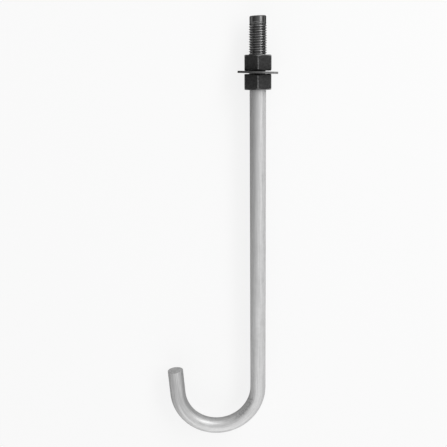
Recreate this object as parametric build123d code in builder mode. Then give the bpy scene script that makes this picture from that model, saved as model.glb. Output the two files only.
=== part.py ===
from build123d import *

import math
import os

# J bolt: a bar threaded at one end and bent to a hook at the other, with two hex nuts and a washer.
# It lies on its side, as it comes to rest on a bench. The bar runs along Y. Its threaded end face is
# at the origin and faces +Y, and the hook turns to -X and back towards the thread. Millimetres.

os.makedirs("parts", exist_ok=True)

inch = 25.4

# Thread, 3/4-10 UNC, as a plain cylinder of its outer diameter
thread_diameter = 0.75 * inch
thread_pitch = inch / 10
plain_end_length = 6.0  # the bar's own diameter, left plain ahead of the thread
thread_start_length = 3.0  # over which the rolled thread grows to its full diameter
end_chamfer = 0.8
thread_runout_length = 2.0
thread_end_inside_nut = 3.0  # full thread stops this far short of the lower nut's outer face

# Bar
straight_length = 418.0  # from the threaded end face to the start of the bend
inner_bend_radius = 1.5 * inch
bend_angle = 175.3
hook_leg_length = 1.125 * inch
hook_end_break = 0.5  # the worn edge of the sheared end
zinc_coat = 0.1  # its thickness on the bar

# Nuts
nut_across_flats = 1.125 * inch
nut_height = 16.7
nut_face_share = 0.95  # diameter of the round bearing face, over the width across flats
nut_chamfer_angle = 30
nut_bore_clearance = 0.05  # radial, over the thread's outer diameter
nut_countersink = 0.7
upper_nut_turn = 6.6  # from a corner straight up, towards the hook's side
lower_nut_turn = 7.3

# Washer, loose between the nuts
washer_position = 58.4  # its middle, from the threaded end face
washer_diameter = 43.4
washer_hole_clearance = inch / 16  # in diameter, over the thread
washer_thickness = 2.2
washer_edge_break = 0.25
washer_play = 1.05  # the gap between the nuts, less the washer's thickness
washer_seat_gap = 0.05  # left on each side of the washer where it leans on the nuts

# Worked out from the above
pitch_diameter = thread_diameter - 3 * math.sqrt(3) / 8 * thread_pitch
bar_diameter = pitch_diameter + 2 * zinc_coat  # a rolled thread starts from its pitch diameter
bar_radius = bar_diameter / 2
thread_radius = thread_diameter / 2
bend_radius = inner_bend_radius + bar_radius
nut_face_radius = nut_face_share * nut_across_flats / 2
half_gap = (washer_thickness + washer_play) / 2
upper_nut_base = half_gap - washer_position
lower_nut_base = -washer_position - half_gap - nut_height
full_thread_end = lower_nut_base + thread_end_inside_nut
shank_start = full_thread_end - thread_runout_length
washer_lean = math.asin((washer_play / 2 - washer_seat_gap) / nut_face_radius)


def across_bar(y, lean=0.0):
    """The plane across the bar at y, facing +Y. A lean, in radians, drops its +X side."""
    along = (math.cos(lean), -math.sin(lean), 0)
    facing = (math.sin(lean), math.cos(lean), 0)
    return Plane(origin=(0, y, 0), x_dir=along, z_dir=facing)


def hex_nut(base, turn):
    """A nut chamfered at both ends, with its lower face at base."""
    top = base + nut_height
    margin = 1  # keeps the turned outline clear of the hexagon's corners
    outer_radius = nut_across_flats / math.sqrt(3) + margin
    drop = (outer_radius - nut_face_radius) * math.tan(math.radians(nut_chamfer_angle))
    with BuildPart() as nut:
        with BuildSketch(across_bar(base)):
            RegularPolygon(nut_across_flats / 2, 6, major_radius=False, rotation=30 - turn)
        extrude(amount=nut_height)
        with BuildSketch(Plane.XY):
            with BuildLine():
                Polyline(
                    (0, base),
                    (nut_face_radius, base),
                    (outer_radius, base + drop),
                    (outer_radius, top - drop),
                    (nut_face_radius, top),
                    (0, top),
                    close=True,
                )
            make_face()
        revolve(axis=Axis.Y, mode=Mode.INTERSECT)
        with BuildSketch(across_bar(base)):
            Circle(thread_radius + nut_bore_clearance)
        extrude(amount=nut_height, mode=Mode.SUBTRACT)
        bore_wall = nut.faces().filter_by(GeomType.CYLINDER).sort_by(SortBy.AREA)[-1]
        chamfer(bore_wall.edges().filter_by(GeomType.CIRCLE), nut_countersink)
    return nut


# The hooked bar, one piece from its threaded end to the tip of the hook
with BuildPart() as rod:
    with BuildLine(Plane.XY) as centre_line:
        shank = Line((0, shank_start), (0, -straight_length))
        bend = JernArc(shank @ 1, shank % 1, bend_radius, -bend_angle)
        leg = Line(bend @ 1, bend @ 1 + hook_leg_length * (bend % 1))
    with BuildSketch(across_bar(shank_start)):
        Circle(bar_radius)
    sweep(path=centre_line.line)
    hook_end = rod.faces().sort_by_distance(leg @ 1)[0]
    chamfer(hook_end.edges(), hook_end_break)
    with BuildSketch(Plane.XY):
        with BuildLine():
            Polyline(
                (0, 0),
                (bar_radius - end_chamfer, 0),
                (bar_radius, -end_chamfer),
                (bar_radius, -plain_end_length),
                (thread_radius, -plain_end_length - thread_start_length),
                (thread_radius, full_thread_end),
                (bar_radius, shank_start),
                (0, shank_start),
                close=True,
            )
        make_face()
    revolve(axis=Axis.Y)
rod.part.label = "rod"
export_step(rod.part, "parts/rod.step")

# The nut that was run down to the end of the thread
lower_nut = hex_nut(lower_nut_base, lower_nut_turn)
lower_nut.part.label = "lower_nut"
export_step(lower_nut.part, "parts/lower_nut.step")

# The washer, which leans as far as its play between the nuts lets it
with BuildPart() as washer:
    with BuildSketch(across_bar(-washer_position, washer_lean)):
        Circle(washer_diameter / 2)
        Circle((thread_diameter + washer_hole_clearance) / 2, mode=Mode.SUBTRACT)
    extrude(amount=washer_thickness / 2, both=True)
    chamfer(washer.edges().filter_by(GeomType.CIRCLE), washer_edge_break)
washer.part.label = "washer"
export_step(washer.part, "parts/washer.step")

# The nut above the washer
upper_nut = hex_nut(upper_nut_base, upper_nut_turn)
upper_nut.part.label = "upper_nut"
export_step(upper_nut.part, "parts/upper_nut.step")
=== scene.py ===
import math

import bpy
from mathutils import Matrix, Vector


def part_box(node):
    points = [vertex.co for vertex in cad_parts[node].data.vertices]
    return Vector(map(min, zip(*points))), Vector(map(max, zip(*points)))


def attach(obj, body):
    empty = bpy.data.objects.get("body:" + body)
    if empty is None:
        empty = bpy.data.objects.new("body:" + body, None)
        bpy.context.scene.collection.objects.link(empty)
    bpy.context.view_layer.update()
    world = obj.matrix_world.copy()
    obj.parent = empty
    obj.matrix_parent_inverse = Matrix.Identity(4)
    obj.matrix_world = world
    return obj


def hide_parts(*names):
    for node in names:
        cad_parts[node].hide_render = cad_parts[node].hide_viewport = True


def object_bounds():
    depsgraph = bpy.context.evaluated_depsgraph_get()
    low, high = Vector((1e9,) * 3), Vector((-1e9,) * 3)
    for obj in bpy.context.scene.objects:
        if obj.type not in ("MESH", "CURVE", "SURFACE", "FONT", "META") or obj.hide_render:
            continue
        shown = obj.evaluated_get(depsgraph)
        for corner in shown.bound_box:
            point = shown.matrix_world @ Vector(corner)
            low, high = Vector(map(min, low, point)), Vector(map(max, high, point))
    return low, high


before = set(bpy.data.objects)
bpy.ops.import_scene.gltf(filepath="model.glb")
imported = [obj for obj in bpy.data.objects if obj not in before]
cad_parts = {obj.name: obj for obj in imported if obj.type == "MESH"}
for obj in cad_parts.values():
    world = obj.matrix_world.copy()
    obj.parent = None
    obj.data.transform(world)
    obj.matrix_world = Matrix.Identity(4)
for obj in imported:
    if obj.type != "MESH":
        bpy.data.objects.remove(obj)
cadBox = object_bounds()
mm = 0.001
fullTurn = 2 * math.pi
print("frame loaded:", sorted(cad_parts))


# Nodes: a Field is a value that varies over a mesh or a surface, and takes ordinary arithmetic

class Field:
    def __init__(self, tree, socket):
        self.tree = tree
        self.socket = socket

    def math(self, operation, *others):
        node = self.tree.nodes.new("ShaderNodeMath")
        node.operation = operation
        for socket, value in zip(node.inputs, (self, *others)):
            plug(self.tree, socket, value)
        return Field(self.tree, node.outputs[0])

    def ramp(self, fromLow, fromHigh, toLow=0.0, toHigh=1.0, smooth=False):
        # goes from toLow to toHigh as this goes from fromLow to fromHigh, and no further
        node = self.tree.nodes.new("ShaderNodeMapRange")
        node.interpolation_type = "SMOOTHSTEP" if smooth else "LINEAR"
        for label, value in zip(
            ("Value", "From Min", "From Max", "To Min", "To Max"),
            (self, fromLow, fromHigh, toLow, toHigh),
        ):
            plug(self.tree, node.inputs[label], value)
        return Field(self.tree, node.outputs[0])

    def between(self, low, high):
        # low where this is 0, and high where it is 1
        return self.ramp(0, 1, low, high)

    def spread(self, half):
        # noise keeps near 0.5, so what lies within half of that is drawn out to fill 0 to 1
        return self.ramp(0.5 - half, 0.5 + half)

    def __add__(self, other):
        return self.math("ADD", other)

    def __sub__(self, other):
        return self.math("SUBTRACT", other)

    def __mul__(self, other):
        return self.math("MULTIPLY", other)

    def __truediv__(self, other):
        return self.math("DIVIDE", other)

    def __rsub__(self, other):
        return self * -1 + other

    __radd__ = __add__
    __rmul__ = __mul__


def plug(tree, socket, value):
    if isinstance(value, Field):
        value = value.socket
    if isinstance(value, bpy.types.NodeSocket):
        tree.links.new(value, socket)
    elif value is not None:
        socket.default_value = value


def addNode(tree, kind, inputs=None, **settings):
    node = tree.nodes.new(kind)
    for name, value in settings.items():
        setattr(node, name, value)
    for label, value in (inputs or {}).items():
        plug(tree, node.inputs[label], value)
    return node


def split(tree, vector):
    parts = addNode(tree, "ShaderNodeSeparateXYZ", {"Vector": vector})
    return {axis: Field(tree, parts.outputs[axis]) for axis in "XYZ"}


def combine(tree, **parts):
    # a vector from its X, Y and Z, which are 0 where they aren't given
    return addNode(tree, "ShaderNodeCombineXYZ", parts).outputs[0]


def fromAxis(place):
    # the bar's axis is the Y axis
    return (place["X"] * place["X"] + place["Z"] * place["Z"]).math("SQRT")


socketTypes = {
    float: "NodeSocketFloat",
    int: "NodeSocketInt",
    tuple: "NodeSocketVector",
    bpy.types.Material: "NodeSocketMaterial",
}


def newTree(name, kind, inputs, outputs, outputType):
    # gives the tree, its inputs as Fields by label, and its output node
    tree = bpy.data.node_groups.new(name, kind)
    for label, value in inputs.items():
        socket = tree.interface.new_socket(label, in_out="INPUT", socket_type=socketTypes[type(value)])
        socket.default_value = value
    for label in outputs:
        tree.interface.new_socket(label, in_out="OUTPUT", socket_type=outputType)
    start = tree.nodes.new("NodeGroupInput")
    given = {label: Field(tree, start.outputs[label]) for label in inputs}
    return tree, given, tree.nodes.new("NodeGroupOutput")


def arrange(tree, columnWidth=190, rowHeight=170):
    # spreads a tree's nodes in columns, so that it can be read in the editor
    depth = {}

    def depthOf(node):
        if node.name not in depth:
            depth[node.name] = 0
            behind = [link.from_node for socket in node.inputs for link in socket.links]
            depth[node.name] = 1 + max([depthOf(other) for other in behind], default=-1)
        return depth[node.name]

    filled = {}
    for node in tree.nodes:
        column = depthOf(node)
        node.location = (column * columnWidth, -filled.get(column, 0) * rowHeight)
        filled[column] = filled.get(column, 0) + 1


# Shapes: every piece is worked out in straight coordinates, with x and z across the bar and -y along it

def shapeTree(name, inputs):
    return newTree(name, "GeometryNodeTree", inputs, ["Geometry"], "NodeSocketGeometry")


def pointPlace(tree):
    return split(tree, tree.nodes.new("GeometryNodeInputPosition").outputs[0])


def moveTo(tree, geometry, place):
    node = addNode(tree, "GeometryNodeSetPosition", {"Geometry": geometry, "Position": place})
    return node.outputs[0]


def spunSheet(tree, segments, rows):
    # a sheet of points, whose columns go once round the axis and whose rows go along a profile
    sheet = addNode(tree, "GeometryNodeMeshGrid", {"Vertices X": segments + 1, "Vertices Y": rows})
    index = Field(tree, tree.nodes.new("GeometryNodeInputIndex").outputs[0])
    column = (index / rows).math("FLOOR")
    angle = column / segments * fullTurn
    return sheet.outputs["Mesh"], angle, index - column * rows


def rollUp(tree, sheet, radius, angle, along):
    return moveTo(tree, sheet, combine(
        tree, X=radius * angle.math("SINE"), Y=along * -1, Z=radius * angle.math("COSINE")))


def resize(tree, geometry, newRadius):
    # moves each point towards or away from the axis, to newRadius
    place = pointPlace(tree)
    radius = fromAxis(place)
    share = newRadius(radius, place["Y"] * -1) / radius
    newPlace = combine(tree, X=place["X"] * share, Y=place["Y"], Z=place["Z"] * share)
    return moveTo(tree, geometry, newPlace)


def join(tree, *parts):
    node = tree.nodes.new("GeometryNodeJoinGeometry")
    for part in reversed(parts):
        tree.links.new(part, node.inputs[0])
    return node.outputs[0]


def weld(tree, geometry, gap=0.002 * mm):
    node = addNode(tree, "GeometryNodeMergeByDistance", {"Geometry": geometry, "Distance": gap})
    return node.outputs[0]


def flip(tree, geometry):
    return addNode(tree, "GeometryNodeFlipFaces", {"Mesh": geometry}).outputs[0]


def markEdges(tree, geometry, weight, sharperThan):
    # writes the weights that the Bevel modifier reads
    angle = Field(tree, tree.nodes.new("GeometryNodeInputMeshEdgeAngle").outputs[0])
    node = addNode(tree, "GeometryNodeStoreNamedAttribute", {
        "Geometry": geometry,
        "Selection": angle.math("GREATER_THAN", sharperThan),
        "Name": "bevel_weight_edge",
        "Value": weight,
    }, data_type="FLOAT", domain="EDGE")
    return node.outputs[0]


def finishTree(tree, end, geometry, *finishes):
    # each finish is a material and the points it covers, or None for all of them
    geometry = addNode(tree, "GeometryNodeRealizeInstances", {"Geometry": geometry}).outputs[0]
    for material, cover in finishes:
        geometry = addNode(tree, "GeometryNodeSetMaterial", {
            "Geometry": geometry, "Selection": cover, "Material": material}).outputs[0]
    tree.links.new(geometry, end.inputs["Geometry"])
    arrange(tree)


def grow(name, tree, values, rounding=None, sharpFrom=32):
    # an object whose shape the tree makes, turned into a plain mesh; sharpFrom is in degrees
    piece = bpy.data.objects.new(name, bpy.data.meshes.new(name))
    bpy.context.scene.collection.objects.link(piece)
    shaper = piece.modifiers.new(tree.name, "NODES")
    shaper.node_group = tree
    for item in tree.interface.items_tree:
        if item.in_out == "INPUT":
            shaper[item.identifier] = values[item.name]
    if rounding:
        bevel = piece.modifiers.new("Rounded edges", "BEVEL")
        bevel.limit_method = "WEIGHT"
        bevel.width = rounding
        bevel.segments = 3
    depsgraph = bpy.context.evaluated_depsgraph_get()
    mesh = bpy.data.meshes.new_from_object(
        piece.evaluated_get(depsgraph), preserve_all_data_layers=True, depsgraph=depsgraph)
    piece.modifiers.clear()
    piece.data = mesh
    mesh.name = name
    mesh.shade_smooth()
    mesh.set_sharp_from_angle(angle=math.radians(sharpFrom))
    facesAt = {}
    for polygon in mesh.polygons:
        for edge in polygon.edge_keys:
            facesAt[edge] = facesAt.get(edge, 0) + 1
    openEdges = sum(faces != 2 for faces in facesAt.values())
    print(name, "has", len(mesh.polygons), "faces,", openEdges, "open edges")
    return piece


# Thread: a right-hand helix, cut off square at both ends

rowsPerTurn = 16
crestFlat = 1 / 8  # in pitches
flankSlope = math.sqrt(3)  # 60 degrees between the flanks
threadTree, given, end = shapeTree("Thread", {
    "Pitch": 2.54 * mm,
    "Crest Radius": 9.525 * mm,
    "High Radius": 9.525 * mm,  # where the crest is cut flat
    "Low Radius": 8.1 * mm,  # where the root is
    "Slack": 0.0,  # widens the crest, in pitches
    "Rounding": 0.05 * mm,  # of the root, and half that of the crest
    "From": 0.0,
    "To": 75.0 * mm,
    "Phase": 0.0,  # in turns
    "Segments": 72,
})
pitch = given["Pitch"]
firstRow = ((given["From"] / pitch - given["Phase"]) * rowsPerTurn).math("FLOOR")
lastRow = ((given["To"] / pitch - given["Phase"] + 1) * rowsPerTurn).math("CEIL")
sheet, angle, row = spunSheet(threadTree, given["Segments"], lastRow - firstRow + 1)
turn = (row + firstRow) / rowsPerTurn + given["Phase"]
along = (turn - angle / fullTurn) * pitch
along = along.math("MAXIMUM", given["From"]).math("MINIMUM", given["To"])
crest = along / pitch + angle / fullTurn - given["Phase"]
offCrest = 0.5 - (crest.math("FRACT") - 0.5).math("ABSOLUTE")  # 0 on a crest, 0.5 in a root
flank = given["Crest Radius"] - (offCrest - crestFlat / 2 - given["Slack"]) * pitch * flankSlope
radius = flank.math("SMOOTH_MAX", given["Low Radius"], given["Rounding"])
radius = radius.math("SMOOTH_MIN", given["High Radius"], given["Rounding"] * 2)
threadTree.links.new(rollUp(threadTree, sheet, radius, angle, along), end.inputs["Geometry"])
arrange(threadTree)


def threadTube(tree, inputs):
    return addNode(tree, "GeometryNodeGroup", inputs, node_tree=threadTree).outputs[0]


# Finishes: distance from the axis tells crests and corners from roots and flats

def shaderGroup(name, inputs, *outputs):
    return newTree(name, "ShaderNodeTree", inputs, outputs, "NodeSocketFloat")


def useGroup(tree, group, inputs):
    node = addNode(tree, "ShaderNodeGroup", inputs, node_tree=group)
    return {socket.name: Field(tree, socket) for socket in node.outputs}


def objectPlace(tree):
    return tree.nodes.new("ShaderNodeTexCoord").outputs["Object"]


def straightPlace(tree):
    # where the bar's surface was before the bar was bent
    return addNode(tree, "ShaderNodeAttribute", attribute_name="straight").outputs["Vector"]


def noise(tree, vector, scale, detail=2.0, roughness=0.5):
    node = addNode(tree, "ShaderNodeTexNoise", {
        "Vector": vector, "Scale": scale, "Detail": detail, "Roughness": roughness})
    return Field(tree, node.outputs[0])


# a lower figure along the bar than across it draws the streaks out lengthwise
fineness = 3.1  # of the fine lines, over the streaks
streakGroup, given, end = shaderGroup("Drawn streaks", {
    "Place": (0.0, 0.0, 0.0), "Across": 900.0, "Along": 25.0}, "Streaks", "Fine Lines")
drawn = addNode(streakGroup, "ShaderNodeVectorMath", {
    0: given["Place"],
    1: combine(streakGroup, X=given["Across"], Y=given["Along"], Z=given["Across"]),
}, operation="MULTIPLY").outputs[0]
plug(streakGroup, end.inputs["Streaks"], noise(streakGroup, drawn, 1.0).spread(0.2))
plug(streakGroup, end.inputs["Fine Lines"], noise(streakGroup, drawn, fineness, detail=1.0).spread(0.2))
arrange(streakGroup)

mottleGroup, given, end = shaderGroup("Mottle and grain", {
    "Place": (0.0, 0.0, 0.0), "Mottle Size": 5.0 * mm, "Grain Size": 0.4 * mm}, "Mottle", "Grain")
blots = noise(
    mottleGroup, given["Place"], given["Mottle Size"].math("POWER", -1.0), detail=4.0, roughness=0.6)
grains = noise(mottleGroup, given["Place"], given["Grain Size"].math("POWER", -1.0))
plug(mottleGroup, end.inputs["Mottle"], blots.spread(0.2))
plug(mottleGroup, end.inputs["Grain"], grains.spread(0.25))
arrange(mottleGroup)

wearGroup, given, end = shaderGroup("Wear by radius", {
    "Bright From": 9.2 * mm, "Bright To": 9.5 * mm, "Patchiness": 0.5, "Patch Size": 2.0 * mm}, "Wear")
where = objectPlace(wearGroup)
patches = noise(wearGroup, where, given["Patch Size"].math("POWER", -1.0), detail=3.0)
kept = 1 - given["Patchiness"] * patches.spread(0.15)
bright = fromAxis(split(wearGroup, where)).ramp(given["Bright From"], given["Bright To"])
plug(wearGroup, end.inputs["Wear"], bright * kept)
arrange(wearGroup)


def grey(value):
    return (value, value, value, 1)


def newFinish(name, values):
    material = bpy.data.materials.new(name)
    material.use_nodes = True
    surface = material.node_tree.nodes["Principled BSDF"]
    surface.inputs["Metallic"].default_value = values["metallic"]
    surface.inputs["Specular IOR Level"].default_value = values["sheen"]
    surface.inputs["Specular Tint"].default_value = grey(values["edgeTint"])
    return material, material.node_tree, surface


def blend(tree, share, first, second):
    # greys are given as one number
    node = addNode(tree, "ShaderNodeMix", data_type="RGBA")
    plug(tree, node.inputs[0], share)
    for socket, colour in ((node.inputs[6], first), (node.inputs[7], second)):
        plug(tree, socket, grey(colour) if isinstance(colour, float) else colour)
    return node.outputs[2]


def weigh(patterns, shares):
    # adds patterns up, each by its share
    first, *others = (patterns[name] * share for name, share in shares.items())
    return sum(others, first)


def roughen(tree, surface, height, depth):
    bump = addNode(tree, "ShaderNodeBump", {"Height": height, "Distance": depth, "Strength": 1.0})
    plug(tree, surface.inputs["Normal"], bump.outputs[0])


# the bar: dull zinc, drawn lengthwise, with painted shade on the hook's side, towards the thread and
# along the hook's inner edge
# a pair of sizes is where a mark begins and where it is full, along the bar from the threaded end or
# across it from the axis towards the hook's side
barFinish = {
    "dark": 0.45, "light": 0.71, "tone": {"Streaks": 0.5, "Mottle": 0.3, "Grain": 0.2},
    # the leg, dulled by handling, but less on the streaks
    "dulled": 0.4, "dullAlong": (505 * mm, 560 * mm), "dullOnStreaks": 0.2,
    # patchy painted shade that grows towards the thread, darkest on the hook's side: the nuts' and
    # washer's shadow and the bar's shaded side
    "paintedShade": 0.3, "shadeAlong": (380 * mm, 90 * mm), "shadeAcross": (-2 * mm, 9 * mm),
    "shadeElsewhere": 0.18, "shadePatches": 0.7,
    # a patchy band of painted shade along the hook's inner edge, wider on the leg
    "innerEdgeShade": 0.32, "innerShadeAlong": (405 * mm, 440 * mm), "innerShadeAcross": (7.2 * mm, 8.6 * mm),
    "innerShadeWider": 2 * mm, "innerShadePatches": 0.6,
    # scuffs beside that band, in the first part of the bend
    "scuffed": 0.4, "scuffAlong": (428 * mm, 434 * mm), "scuffBefore": (470 * mm, 462 * mm),
    "scuffAcross": (3.2 * mm, 5.5 * mm), "scuffFineness": 420.0, "scuffNoise": (0.46, 0.51),
    # how much smoother the bend is
    "burnished": 0.13, "burnishAlong": (390 * mm, 430 * mm),
    "metallic": 0.4, "sheen": 0.05, "edgeTint": 0.1,
    "rough": {"Fine Lines": 0.5, "Mottle": 0.5}, "roughLow": 0.48, "roughHigh": 0.62,
    "relief": {"Grain": 0.6, "Fine Lines": 0.4}, "bump": 0.03 * mm,
}
zincGrey, tree, surface = newFinish("zincGrey", barFinish)
straight = straightPlace(tree)
marks = useGroup(tree, streakGroup, {"Place": straight})
marks |= useGroup(tree, mottleGroup, {"Place": straight})
place = split(tree, straight)
along = place["Y"] * -1
inside = place["X"] * -1  # the hook's side, which lay on the bending former
zinc = blend(tree, weigh(marks, barFinish["tone"]), barFinish["dark"], barFinish["light"])
dulled = along.ramp(*barFinish["dullAlong"], smooth=True)
uneven = marks["Streaks"].between(1, barFinish["dullOnStreaks"])
zinc = blend(tree, dulled * uneven, zinc, barFinish["dulled"])
# painted shade: the bar is darkened towards the thread and on the hook's side, standing in for the
# shadow of the nuts and washer
paintedShade = along.ramp(*barFinish["shadeAlong"])
paintedShade = paintedShade * inside.ramp(*barFinish["shadeAcross"], barFinish["shadeElsewhere"], 1)
paintedShade = paintedShade * marks["Mottle"].between(barFinish["shadePatches"], 1)
zinc = blend(tree, paintedShade, zinc, barFinish["paintedShade"])
# painted shade: a dark band along the inner edge of the bend and the leg, where shade falls inside the
# hook
wider = dulled * barFinish["innerShadeWider"]
innerEdgeShade = along.ramp(*barFinish["innerShadeAlong"], smooth=True)
innerEdgeShade = innerEdgeShade * inside.ramp(*(edge - wider for edge in barFinish["innerShadeAcross"]))
innerEdgeShade = innerEdgeShade * marks["Mottle"].between(barFinish["innerShadePatches"], 1)
zinc = blend(tree, innerEdgeShade, zinc, barFinish["innerEdgeShade"])
scuffed = along.ramp(*barFinish["scuffAlong"], smooth=True)
scuffed = scuffed * along.ramp(*barFinish["scuffBefore"], smooth=True)
scuffs = noise(tree, straight, barFinish["scuffFineness"], detail=4.0, roughness=0.6)
scuffed = scuffed * inside.ramp(*barFinish["scuffAcross"]) * scuffs.ramp(*barFinish["scuffNoise"])
plug(tree, surface.inputs["Base Color"], blend(tree, scuffed, zinc, barFinish["scuffed"]))
rough = weigh(marks, barFinish["rough"]).between(barFinish["roughLow"], barFinish["roughHigh"])
burnished = along.ramp(*barFinish["burnishAlong"], smooth=True) * (1 - dulled)
plug(tree, surface.inputs["Roughness"], rough - burnished * barFinish["burnished"])
roughen(tree, surface, weigh(marks, barFinish["relief"]), barFinish["bump"])
arrange(tree)

# the sheared end of the hook: dull, with lines where the blade went down through it
cutFinish = {
    "dark": 0.28, "light": 0.5, "tone": {"Streaks": 0.5, "Mottle": 0.5},
    "linesAcross": 1500.0, "linesDown": 120.0, "mottleSize": 3.0 * mm,
    "metallic": 0.8, "sheen": 0.5, "edgeTint": 1.0, "roughLow": 0.5, "roughHigh": 0.7,
    "relief": {"Fine Lines": 0.5, "Grain": 0.5}, "bump": 0.06 * mm,
}
shearedSteel, tree, surface = newFinish("shearedSteel", cutFinish)
straight = straightPlace(tree)
place = split(tree, straight)
marks = useGroup(tree, streakGroup, {
    "Place": combine(tree, X=place["X"], Y=place["Z"]),
    "Across": cutFinish["linesAcross"],
    "Along": cutFinish["linesDown"],
})
marks |= useGroup(tree, mottleGroup, {"Place": straight, "Mottle Size": cutFinish["mottleSize"]})
tone = weigh(marks, cutFinish["tone"])
plug(tree, surface.inputs["Base Color"], blend(tree, tone, cutFinish["dark"], cutFinish["light"]))
plug(tree, surface.inputs["Roughness"], tone.between(cutFinish["roughHigh"], cutFinish["roughLow"]))
roughen(tree, surface, weigh(marks, cutFinish["relief"]), cutFinish["bump"])
arrange(tree)

# the thread: black and oily in the roots, rubbed to bare steel along the crests
threadFinish = {
    "root": 0.15, "flank": 0.13, "crest": 0.6,
    "flankWear": {"Bright From": 7.9 * mm, "Bright To": 8.7 * mm, "Patchiness": 0.25},
    "crestWear": {"Bright From": 9.25 * mm, "Bright To": 9.5 * mm, "Patchiness": 0.3},
    "filmPatches": 0.4, "mottleSize": 3.0 * mm, "grainSize": 0.25 * mm,
    "linesAcross": 40.0, "linesAlong": 2600.0,  # lathe and die marks, which run round the bar
    "metallic": 1.0, "sheen": 0.5, "edgeTint": 0.0,
    "rough": {"Mottle": 0.5, "Grain": 0.5}, "roughLow": 0.27, "roughHigh": 0.37,
    "relief": {"Grain": 0.2, "Streaks": 0.8}, "bump": 0.01 * mm,
}
blackThread, tree, surface = newFinish("blackThread", threadFinish)
where = objectPlace(tree)
marks = useGroup(tree, mottleGroup, {
    "Place": where, "Mottle Size": threadFinish["mottleSize"], "Grain Size": threadFinish["grainSize"]})
marks |= useGroup(tree, streakGroup, {
    "Place": where, "Across": threadFinish["linesAcross"], "Along": threadFinish["linesAlong"]})
flank = useGroup(tree, wearGroup, threadFinish["flankWear"])["Wear"]
flank = flank * marks["Mottle"].between(threadFinish["filmPatches"], 1)
crest = useGroup(tree, wearGroup, threadFinish["crestWear"])["Wear"]
black = blend(tree, flank, threadFinish["root"], threadFinish["flank"])
plug(tree, surface.inputs["Base Color"], blend(tree, crest, black, threadFinish["crest"]))
rough = weigh(marks, threadFinish["rough"]).between(threadFinish["roughLow"], threadFinish["roughHigh"])
plug(tree, surface.inputs["Roughness"], rough)
roughen(tree, surface, weigh(marks, threadFinish["relief"]), threadFinish["bump"])
arrange(tree)

# the nuts: black oxide, worn through at the corners and on the turned ends
# facing is 1 where the surface looks straight along the bar, and 0 on the six flats
nutFinish = {
    "dark": 0.01, "light": 0.05, "tone": {"Mottle": 0.5, "Streaks": 0.3, "Grain": 0.2},
    "mottleSize": 2.5 * mm, "grainSize": 0.3 * mm, "linesAcross": 260.0, "linesAlong": 1700.0,
    # the turned ends, where the oxide is thin, and their edges, worn off and lightened further as a
    # painted highlight
    "turned": 0.3, "endFacing": (0.4, 0.8),
    "worn": 0.5, "edgeFacing": (0.15, 0.4), "edgeUpTo": (0.85, 0.6),
    # both are bare in patches, less so on the lower nut; near the washer they are kept dark as painted
    # shade in the gap between the nuts, and on the hook's side as painted shade, so that the other side
    # stands lighter
    "barePatches": 0.5, "washerGapShade": (9 * mm, 14 * mm),
    "bareOnY": (-76 * mm, -41 * mm), "bareOnLowerNut": 0.6,
    "sideShadeOnX": (-5 * mm, 2 * mm), "hookSideShade": 0.12,
    # the six corners
    "cornerWear": {"Bright From": 16.0 * mm, "Bright To": 16.4 * mm, "Patchiness": 0.8},
    "cornerShare": 0.5,
    "metallic": 0.2, "sheen": 0.5, "edgeTint": 0.3, "roughLow": 0.46, "roughHigh": 0.6,
    "relief": {"Grain": 0.5, "Fine Lines": 0.5}, "bump": 0.012 * mm,
}
washerMiddle = sum(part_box("washer"), Vector()) / 2
blackOxide, tree, surface = newFinish("blackOxide", nutFinish)
where = objectPlace(tree)
place = split(tree, where)
marks = useGroup(tree, mottleGroup, {
    "Place": where, "Mottle Size": nutFinish["mottleSize"], "Grain Size": nutFinish["grainSize"]})
marks |= useGroup(tree, streakGroup, {
    "Place": where, "Across": nutFinish["linesAcross"], "Along": nutFinish["linesAlong"]})
tone = weigh(marks, nutFinish["tone"])
black = blend(tree, tone, nutFinish["dark"], nutFinish["light"])
facing = split(tree, tree.nodes.new("ShaderNodeTexCoord").outputs["Normal"])["Y"].math("ABSOLUTE")
# real wear in patches, held dark near the washer and on the hook's side as painted shade, lighter on the
# other side
wearAndShade = (place["Y"] - washerMiddle.y).math("ABSOLUTE").ramp(*nutFinish["washerGapShade"])
wearAndShade = wearAndShade * marks["Mottle"].between(nutFinish["barePatches"], 1)
wearAndShade = wearAndShade * place["Y"].ramp(*nutFinish["bareOnY"], nutFinish["bareOnLowerNut"], 1)
wearAndShade = wearAndShade * place["X"].ramp(*nutFinish["sideShadeOnX"], nutFinish["hookSideShade"], 1)
black = blend(tree, facing.ramp(*nutFinish["endFacing"]) * wearAndShade, black, nutFinish["turned"])
edges = facing.ramp(*nutFinish["edgeFacing"]) * facing.ramp(*nutFinish["edgeUpTo"]) * wearAndShade
corners = useGroup(tree, wearGroup, nutFinish["cornerWear"])["Wear"] * nutFinish["cornerShare"]
worn = corners.math("MAXIMUM", edges)
plug(tree, surface.inputs["Base Color"], blend(tree, worn, black, nutFinish["worn"]))
plug(tree, surface.inputs["Metallic"], worn.between(nutFinish["metallic"], 1.0))
plug(tree, surface.inputs["Roughness"], tone.between(nutFinish["roughHigh"], nutFinish["roughLow"]))
roughen(tree, surface, weigh(marks, nutFinish["relief"]), nutFinish["bump"])
arrange(tree)

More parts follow.
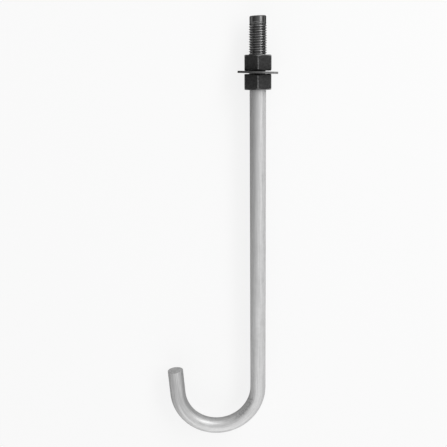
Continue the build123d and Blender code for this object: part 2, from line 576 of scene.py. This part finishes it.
# the washer: plain steel, painted lighter on the side away from the hook and darker on the hook's side,
# as painted light and shade
washerFinish = {
    "dark": 0.03, "light": 0.13, "litSideDark": 0.1, "litSideLight": 0.4, "litSideAcross": (2 * mm, 20 * mm),
    "tone": {"Mottle": 0.6, "Grain": 0.2, "Wear": 0.2}, "mottleSize": 6.0 * mm, "grainSize": 0.35 * mm,
    "rimWear": {"Bright From": 20.9 * mm, "Bright To": 21.5 * mm, "Patchiness": 0.6},
    "metallic": 0.4, "sheen": 0.0, "edgeTint": 0.05, "roughLow": 0.45, "roughHigh": 0.6,
    "relief": {"Grain": 1.0}, "bump": 0.02 * mm,
}
dullSteel, tree, surface = newFinish("dullSteel", washerFinish)
where = objectPlace(tree)
marks = useGroup(tree, mottleGroup, {
    "Place": where, "Mottle Size": washerFinish["mottleSize"], "Grain Size": washerFinish["grainSize"]})
marks |= useGroup(tree, wearGroup, washerFinish["rimWear"])
tone = weigh(marks, washerFinish["tone"])
# painted light and shade: the washer's colour is made lighter towards the side away from the hook
shadedSideTone = blend(tree, tone, washerFinish["dark"], washerFinish["light"])
litSideTone = blend(tree, tone, washerFinish["litSideDark"], washerFinish["litSideLight"])
side = split(tree, where)["X"].ramp(*washerFinish["litSideAcross"])
plug(tree, surface.inputs["Base Color"], blend(tree, side, shadedSideTone, litSideTone))
rough = tone.between(washerFinish["roughHigh"], washerFinish["roughLow"])
plug(tree, surface.inputs["Roughness"], rough)
roughen(tree, surface, weigh(marks, washerFinish["relief"]), washerFinish["bump"])
arrange(tree)
print("finishes made")


# Rod

rodValues = {
    "Bar Radius": 8.799 * mm,
    "Thread Crest Radius": 9.525 * mm,
    "Thread Root Radius": 8.1 * mm,
    "Thread Pitch": 2.54 * mm,
    "Thread Phase": 0.25,
    "Thread Starts": 5.0 * mm,
    "Thread Is Full At": 12.0 * mm,
    "Thread Fades At": 73.7 * mm,
    "Thread Ends": 75.7 * mm,
    "End Chamfer": 0.8 * mm,
    "End Slant": 0.6 * mm,  # how much lower the threaded end was cut on the hook's side
    "Slant Reaches": 5.0 * mm,
    "Straight Length": 418.0 * mm,
    "Bend Radius": 46.899 * mm,
    "Bend Angle": math.radians(175.3),
    "Hook Leg": 28.575 * mm,
    "Hook End Break": 0.5 * mm,
    "Segments": 72,
    "Rows Along": 250,
    "Bar Finish": zincGrey,
    "Thread Finish": blackThread,
    "Hook End Finish": shearedSteel,
}
rodTree, given, end = shapeTree("Hooked bar", rodValues)
barRadius = given["Bar Radius"]


def rollThread(radius, along):
    # the thread grows out of the plain end, and fades at its other end
    formed = along.ramp(given["Thread Starts"], given["Thread Is Full At"], smooth=True)
    fading = along.ramp(given["Thread Fades At"], given["Thread Ends"])
    rolled = barRadius + (radius - barRadius) * formed * (1 - fading)
    return rolled.math("MINIMUM", barRadius - given["End Chamfer"] + along)


thread = threadTube(rodTree, {
    "Pitch": given["Thread Pitch"],
    "Crest Radius": given["Thread Crest Radius"],
    "High Radius": given["Thread Crest Radius"],
    "Low Radius": given["Thread Root Radius"],
    "To": given["Thread Ends"],
    "Phase": given["Thread Phase"],
    "Segments": given["Segments"],
})
thread = resize(rodTree, thread, rollThread)

# the disc that closes the threaded end
endRows = 4
sheet, angle, row = spunSheet(rodTree, given["Segments"], endRows)
endDisc = rollUp(rodTree, sheet, (barRadius - given["End Chamfer"]) * row / (endRows - 1), angle, 0)

# the plain bar, its rounded edge at the hook's tip, and the disc that closes it
breakRows = 5
discRows = 4
sideRows = given["Rows Along"]
barLength = given["Straight Length"] + given["Bend Radius"] * given["Bend Angle"] + given["Hook Leg"]
tipBreak = given["Hook End Break"]
sheet, angle, row = spunSheet(rodTree, given["Segments"], sideRows + breakRows + discRows + 1)
around = row.ramp(sideRows, sideRows + breakRows, 0, math.pi / 2)
inward = row.ramp(sideRows + breakRows, sideRows + breakRows + discRows)
radius = (barRadius - tipBreak) * (1 - inward) + tipBreak * around.math("COSINE")
side = row.ramp(0, sideRows, given["Thread Ends"], barLength - tipBreak)
bar = rollUp(rodTree, sheet, radius, angle, side + tipBreak * around.math("SINE"))

rod = weld(rodTree, flip(rodTree, join(rodTree, endDisc, thread, bar)))
place = pointPlace(rodTree)
x, z, along = place["X"], place["Z"], place["Y"] * -1
lower = along.ramp(0, given["Slant Reaches"], 1, 0, smooth=True) * given["End Slant"]
slanted = combine(rodTree, Y=(barRadius - x) / barRadius / 2 * lower * -1)
rod = addNode(rodTree, "GeometryNodeSetPosition", {"Geometry": rod, "Offset": slanted}).outputs[0]
rod = addNode(rodTree, "GeometryNodeStoreNamedAttribute", {
    "Geometry": rod,
    "Name": "straight",
    "Value": rodTree.nodes.new("GeometryNodeInputPosition").outputs[0],
}, data_type="FLOAT_VECTOR", domain="POINT").outputs[0]

# the hook: what lies past the straight length goes round the bend, and the leg runs on from it
past = along - given["Straight Length"]
bend = (past / given["Bend Radius"]).math("MAXIMUM", 0.0).math("MINIMUM", given["Bend Angle"])
leg = (past - given["Bend Radius"] * given["Bend Angle"]).math("MAXIMUM", 0.0)
reach = x + given["Bend Radius"]
cosine, sine = bend.math("COSINE"), bend.math("SINE")
across = reach * cosine - leg * sine - given["Bend Radius"]
down = along.math("MINIMUM", given["Straight Length"]) + reach * sine + leg * cosine
rod = moveTo(rodTree, rod, combine(rodTree, X=across, Y=down * -1, Z=z))
straight = addNode(rodTree, "GeometryNodeInputNamedAttribute", {
    "Name": "straight"}, data_type="FLOAT_VECTOR").outputs[0]
fromEnd = split(rodTree, straight)["Y"] * -1
onThread = fromEnd.math("LESS_THAN", given["Thread Ends"])
onEnd = fromEnd.math("GREATER_THAN", barLength - tipBreak / 2)
finishTree(rodTree, end, rod, (given["Bar Finish"], None), (given["Thread Finish"], onThread),
           (given["Hook End Finish"], onEnd))
rod = grow("hookedBar", rodTree, rodValues, sharpFrom=50)
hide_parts("rod")
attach(rod, "bar")
print("rod made")


# Nuts

nutValues = {
    "Across Flats": 28.575 * mm,
    "Height": 16.7 * mm,
    "Face Radius": 13.573 * mm,
    "Chamfer": math.radians(30),
    "Mouth Radius": 10.275 * mm,
    "Mouth Slope": 1.0,
    "Thread Pitch": 2.54 * mm,
    "Thread Crest Radius": 9.525 * mm,
    "Thread High Radius": 9.62 * mm,
    "Thread Low Radius": 8.87 * mm,  # wide enough to pass over the plain end of the bar
    "Thread Slack": 0.03,
    "Thread Phase": 0.25,
    "Top": 40.075 * mm,  # from the bar's threaded end to the nut's nearer face
    "Turn": math.radians(6.6),
    "Corner Rounding": 1.0,  # in shares of the rounding in nutEdges
    "Chamfer Rounding": 0.35,
    "Segments": 72,
    "Finish": blackOxide,
}
lowerNutValues = nutValues | {
    "Top": 60.025 * mm,
    "Turn": math.radians(7.3),
    "Thread Low Radius": 9.575 * mm,  # opened out, to turn in its place clear of the rod's thread
    "Thread High Radius": 10.275 * mm,
    "Thread Crest Radius": 10.6 * mm,
}
nutTree, given, end = shapeTree("Hex nut", nutValues)
height, top = given["Height"], given["Top"]
faceRadius, mouthRadius = given["Face Radius"], given["Mouth Radius"]

# the outside goes from the bore out over the nearer face, its chamfer, the side and back in the same way
sideRows = 4
sheet, angle, row = spunSheet(nutTree, given["Segments"], sideRows + 5)
sixth = fullTurn / 6
justPast = 0.0001  # keeps a corner's points on one side of it
offFlat = angle - (angle / sixth + justPast).math("FLOOR") * sixth - sixth / 2
hexRadius = given["Across Flats"] / 2 / offFlat.math("COSINE")
drop = (hexRadius - faceRadius) * given["Chamfer"].math("TANGENT")
rimOut = row.ramp(0, 1)
chamferOut = row.ramp(1, 2)
downSide = row.ramp(2, 2 + sideRows)
chamferIn = row.ramp(2 + sideRows, 3 + sideRows)
rimIn = row.ramp(3 + sideRows, 4 + sideRows)
radius = (mouthRadius + (faceRadius - mouthRadius) * (rimOut - rimIn)
          + (hexRadius - faceRadius) * (chamferOut - chamferIn))
depth = drop * (chamferOut + chamferIn) + (height - drop * 2) * downSide
shell = flip(nutTree, rollUp(nutTree, sheet, radius, angle, top + depth))
bore = threadTube(nutTree, {
    "Pitch": given["Thread Pitch"],
    "Crest Radius": given["Thread Crest Radius"],
    "High Radius": given["Thread High Radius"],
    "Low Radius": given["Thread Low Radius"],
    "Slack": given["Thread Slack"],
    "From": top,
    "To": top + height,
    "Phase": given["Thread Phase"] + given["Turn"] / fullTurn,
    "Segments": given["Segments"],
})


def openMouths(radius, along):
    inFrom = (along - top).math("MINIMUM", top + height - along)
    return radius.math("MAXIMUM", mouthRadius - inFrom * given["Mouth Slope"])


bore = resize(nutTree, bore, openMouths)
nut = weld(nutTree, join(nutTree, shell, bore))

# the six upright corners are rounded most, the chamfers' edges less, and the bore's not at all
nutEdges = {"rounding": 0.8 * mm, "sharperThan": math.radians(20), "longerThan": 1.5 * mm}
edgeEnds = nutTree.nodes.new("GeometryNodeInputMeshEdgeVertices")
run = addNode(nutTree, "ShaderNodeVectorMath", {
    0: edgeEnds.outputs["Position 1"],
    1: edgeEnds.outputs["Position 2"],
}, operation="SUBTRACT").outputs[0]
upright = split(nutTree, run)["Y"].math("ABSOLUTE").math("GREATER_THAN", nutEdges["longerThan"])
outside = fromAxis(pointPlace(nutTree)).math("GREATER_THAN", (faceRadius + mouthRadius) / 2)
weight = upright.between(given["Chamfer Rounding"], given["Corner Rounding"]) * outside
nut = markEdges(nutTree, nut, weight, nutEdges["sharperThan"])
nut = addNode(nutTree, "GeometryNodeTransform", {
    "Geometry": nut, "Rotation": combine(nutTree, Y=given["Turn"] * -1)}).outputs[0]
finishTree(nutTree, end, nut, (given["Finish"], None))

upperNut = grow("upperHexNut", nutTree, nutValues, nutEdges["rounding"])
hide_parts("upper_nut")
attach(upperNut, "upper_nut")
lowerNut = grow("lowerHexNut", nutTree, lowerNutValues, nutEdges["rounding"])
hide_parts("lower_nut")
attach(lowerNut, "lower_nut")
print("nuts made")


# Washer

washerValues = {
    "Outer Radius": 21.7 * mm,
    "Hole Radius": 10.319 * mm,
    "Thickness": 2.2 * mm,
    "Middle": 58.4 * mm,  # from the bar's threaded end
    "Lean": math.radians(2.007),
    "Punched Rounding": 1.0,  # in shares of the rounding in washerEdges
    "Other Rounding": 0.35,
    "Segments": 120,
    "Finish": dullSteel,
}
washerTree, given, end = shapeTree("Flat washer", washerValues)

# out over one face, over the rim, back in over the other face and through the hole
faceRows = 5
sheet, angle, row = spunSheet(washerTree, given["Segments"], 2 * faceRows + 3)
outward = row.ramp(0, faceRows)
overRim = row.ramp(faceRows, faceRows + 1)
inward = row.ramp(faceRows + 1, 2 * faceRows + 1)
throughHole = row.ramp(2 * faceRows + 1, 2 * faceRows + 2)
radius = given["Hole Radius"] + (given["Outer Radius"] - given["Hole Radius"]) * (outward - inward)
along = given["Thickness"] * (overRim - throughHole - 0.5)
washer = weld(washerTree, flip(washerTree, rollUp(washerTree, sheet, radius, angle, along)))

# the punch rounded the edges on the side it went in
washerEdges = {"rounding": 0.35 * mm, "sharperThan": math.radians(40)}
punchedSide = pointPlace(washerTree)["Y"].math("GREATER_THAN", 0.0)
weight = punchedSide.between(given["Other Rounding"], given["Punched Rounding"])
washer = markEdges(washerTree, washer, weight, washerEdges["sharperThan"])
washer = addNode(washerTree, "GeometryNodeTransform", {
    "Geometry": washer,
    "Translation": combine(washerTree, Y=given["Middle"] * -1),
    "Rotation": combine(washerTree, Z=given["Lean"] * -1),
}).outputs[0]
finishTree(washerTree, end, washer, (given["Finish"], None))
washer = grow("flatWasher", washerTree, washerValues, washerEdges["rounding"])
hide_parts("washer")
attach(washer, "washer")
print("washer made")


# Floor, light and camera

floorValues = {
    "size": 8.0,
    "colour": 0.7,
    "roughness": 0.9,
    "whiteShare": 0.82,  # of what is seen of the floor, and the rest is lit and keeps the shadow
}
low, high = cadBox
floorMesh = bpy.data.meshes.new("floor")
half = floorValues["size"] / 2
floorMesh.from_pydata(
    [(x * half, y * half, low.z) for x, y in ((-1, -1), (1, -1), (1, 1), (-1, 1))], [], [(0, 1, 2, 3)])
floor = bpy.data.objects.new("floor", floorMesh)
bpy.context.scene.collection.objects.link(floor)
floorPaint, tree, surface = newFinish("floorPaint", {"metallic": 0.0, "sheen": 0.0, "edgeTint": 1.0})
surface.inputs["Base Color"].default_value = grey(floorValues["colour"])
surface.inputs["Roughness"].default_value = floorValues["roughness"]
rays = tree.nodes.new("ShaderNodeLightPath")
seen = Field(tree, rays.outputs["Is Camera Ray"])
for label in ("Is Glossy Ray", "Is Transmission Ray"):
    seen = seen.math("MAXIMUM", rays.outputs[label])
white = addNode(tree, "ShaderNodeEmission", {"Color": grey(1), "Strength": 1.0})
mix = addNode(tree, "ShaderNodeMixShader", {
    "Fac": seen * floorValues["whiteShare"], 1: surface.outputs[0], 2: white.outputs[0]})
tree.links.new(mix.outputs[0], tree.nodes["Material Output"].inputs["Surface"])
floorMesh.materials.append(floorPaint)
arrange(tree)

# the room: a wide soft light beyond each end of the bolt, a dim ceiling, and white behind the floor
roomValues = {
    "lights": [
        {"towards": (0.27, 0.80, 0.50), "narrowness": 6.0, "strength": 1.8},
        {"towards": (-0.06, -0.80, 0.54), "narrowness": 2.4, "strength": 2.1},
    ],
    "takenOff": 0.22,  # from the lights' sum, so that they end
    "least": 0.04,
    # the white behind the floor, as metal and glass show it: its top, and where it is full, in sines of
    # the angle above the horizon
    "backdrop": (0.06, 0.01),
}
world = bpy.data.worlds.new("studio")
bpy.context.scene.world = world
world.use_nodes = True
tree = world.node_tree
direction = tree.nodes.new("ShaderNodeTexCoord").outputs["Generated"]
room = -roomValues["takenOff"]
for light in roomValues["lights"]:
    dot = addNode(tree, "ShaderNodeVectorMath", {
        0: direction, 1: Vector(light["towards"]).normalized()}, operation="DOT_PRODUCT")
    offLight = 1 - Field(tree, dot.outputs["Value"])
    room = (offLight * -light["narrowness"]).math("EXPONENT") * light["strength"] + room
rays = tree.nodes.new("ShaderNodeLightPath")
mirrored = Field(tree, rays.outputs["Is Glossy Ray"])
mirrored = mirrored.math("MAXIMUM", rays.outputs["Is Transmission Ray"])
seen = mirrored * split(tree, direction)["Z"].ramp(*roomValues["backdrop"])
seen = seen.math("MAXIMUM", rays.outputs["Is Camera Ray"])
background = tree.nodes["Background"]
background.inputs["Color"].default_value = grey(1)
room = room.math("MAXIMUM", roomValues["least"])
plug(tree, background.inputs["Strength"], room.math("MAXIMUM", seen))
arrange(tree)

# a long strip lamp beside and above the threaded end draws the bright line down the thread
lampValues = {
    "towards": (0.57, 0.45, 0.72),  # from the middle of the bolt
    "distance": 1.6,
    "width": 0.5,
    "length": 1.9,  # along the bar
    "power": 13.5,
}
lamp = bpy.data.lights.new("stripLamp", "AREA")
lamp.shape = "RECTANGLE"
lamp.size = lampValues["width"]
lamp.size_y = lampValues["length"]
lamp.energy = lampValues["power"]
stripLamp = bpy.data.objects.new("stripLamp", lamp)
away = Vector(lampValues["towards"]).normalized()
alongBar = (Vector((0, 1, 0)) - away * away.y).normalized()
middle = Vector(((low.x + high.x) / 2, (low.y + high.y) / 2, 0))
stripLamp.location = middle + away * lampValues["distance"]
stripLamp.rotation_euler = Matrix((alongBar.cross(away), alongBar, away)).transposed().to_euler()
bpy.context.scene.collection.objects.link(stripLamp)

cameraValues = {
    "lens": 57.36,
    "sensor": 36,
    "place": (-0.10311, -0.05843, 0.77078),
    "pitch": -11.953,
    "yaw": -4.795,
    "roll": -0.598,
}
lens = bpy.data.cameras.new("camera")
lens.lens = cameraValues["lens"]
lens.sensor_width = cameraValues["sensor"]
camera = bpy.data.objects.new("camera", lens)
camera.location = cameraValues["place"]
camera.rotation_mode = "ZXY"
camera.rotation_euler = [math.radians(cameraValues[angle]) for angle in ("pitch", "yaw", "roll")]
bpy.context.scene.collection.objects.link(camera)
bpy.context.scene.camera = camera
bpy.context.scene.view_settings.view_transform = "Standard"
print("floor, lights and camera made")
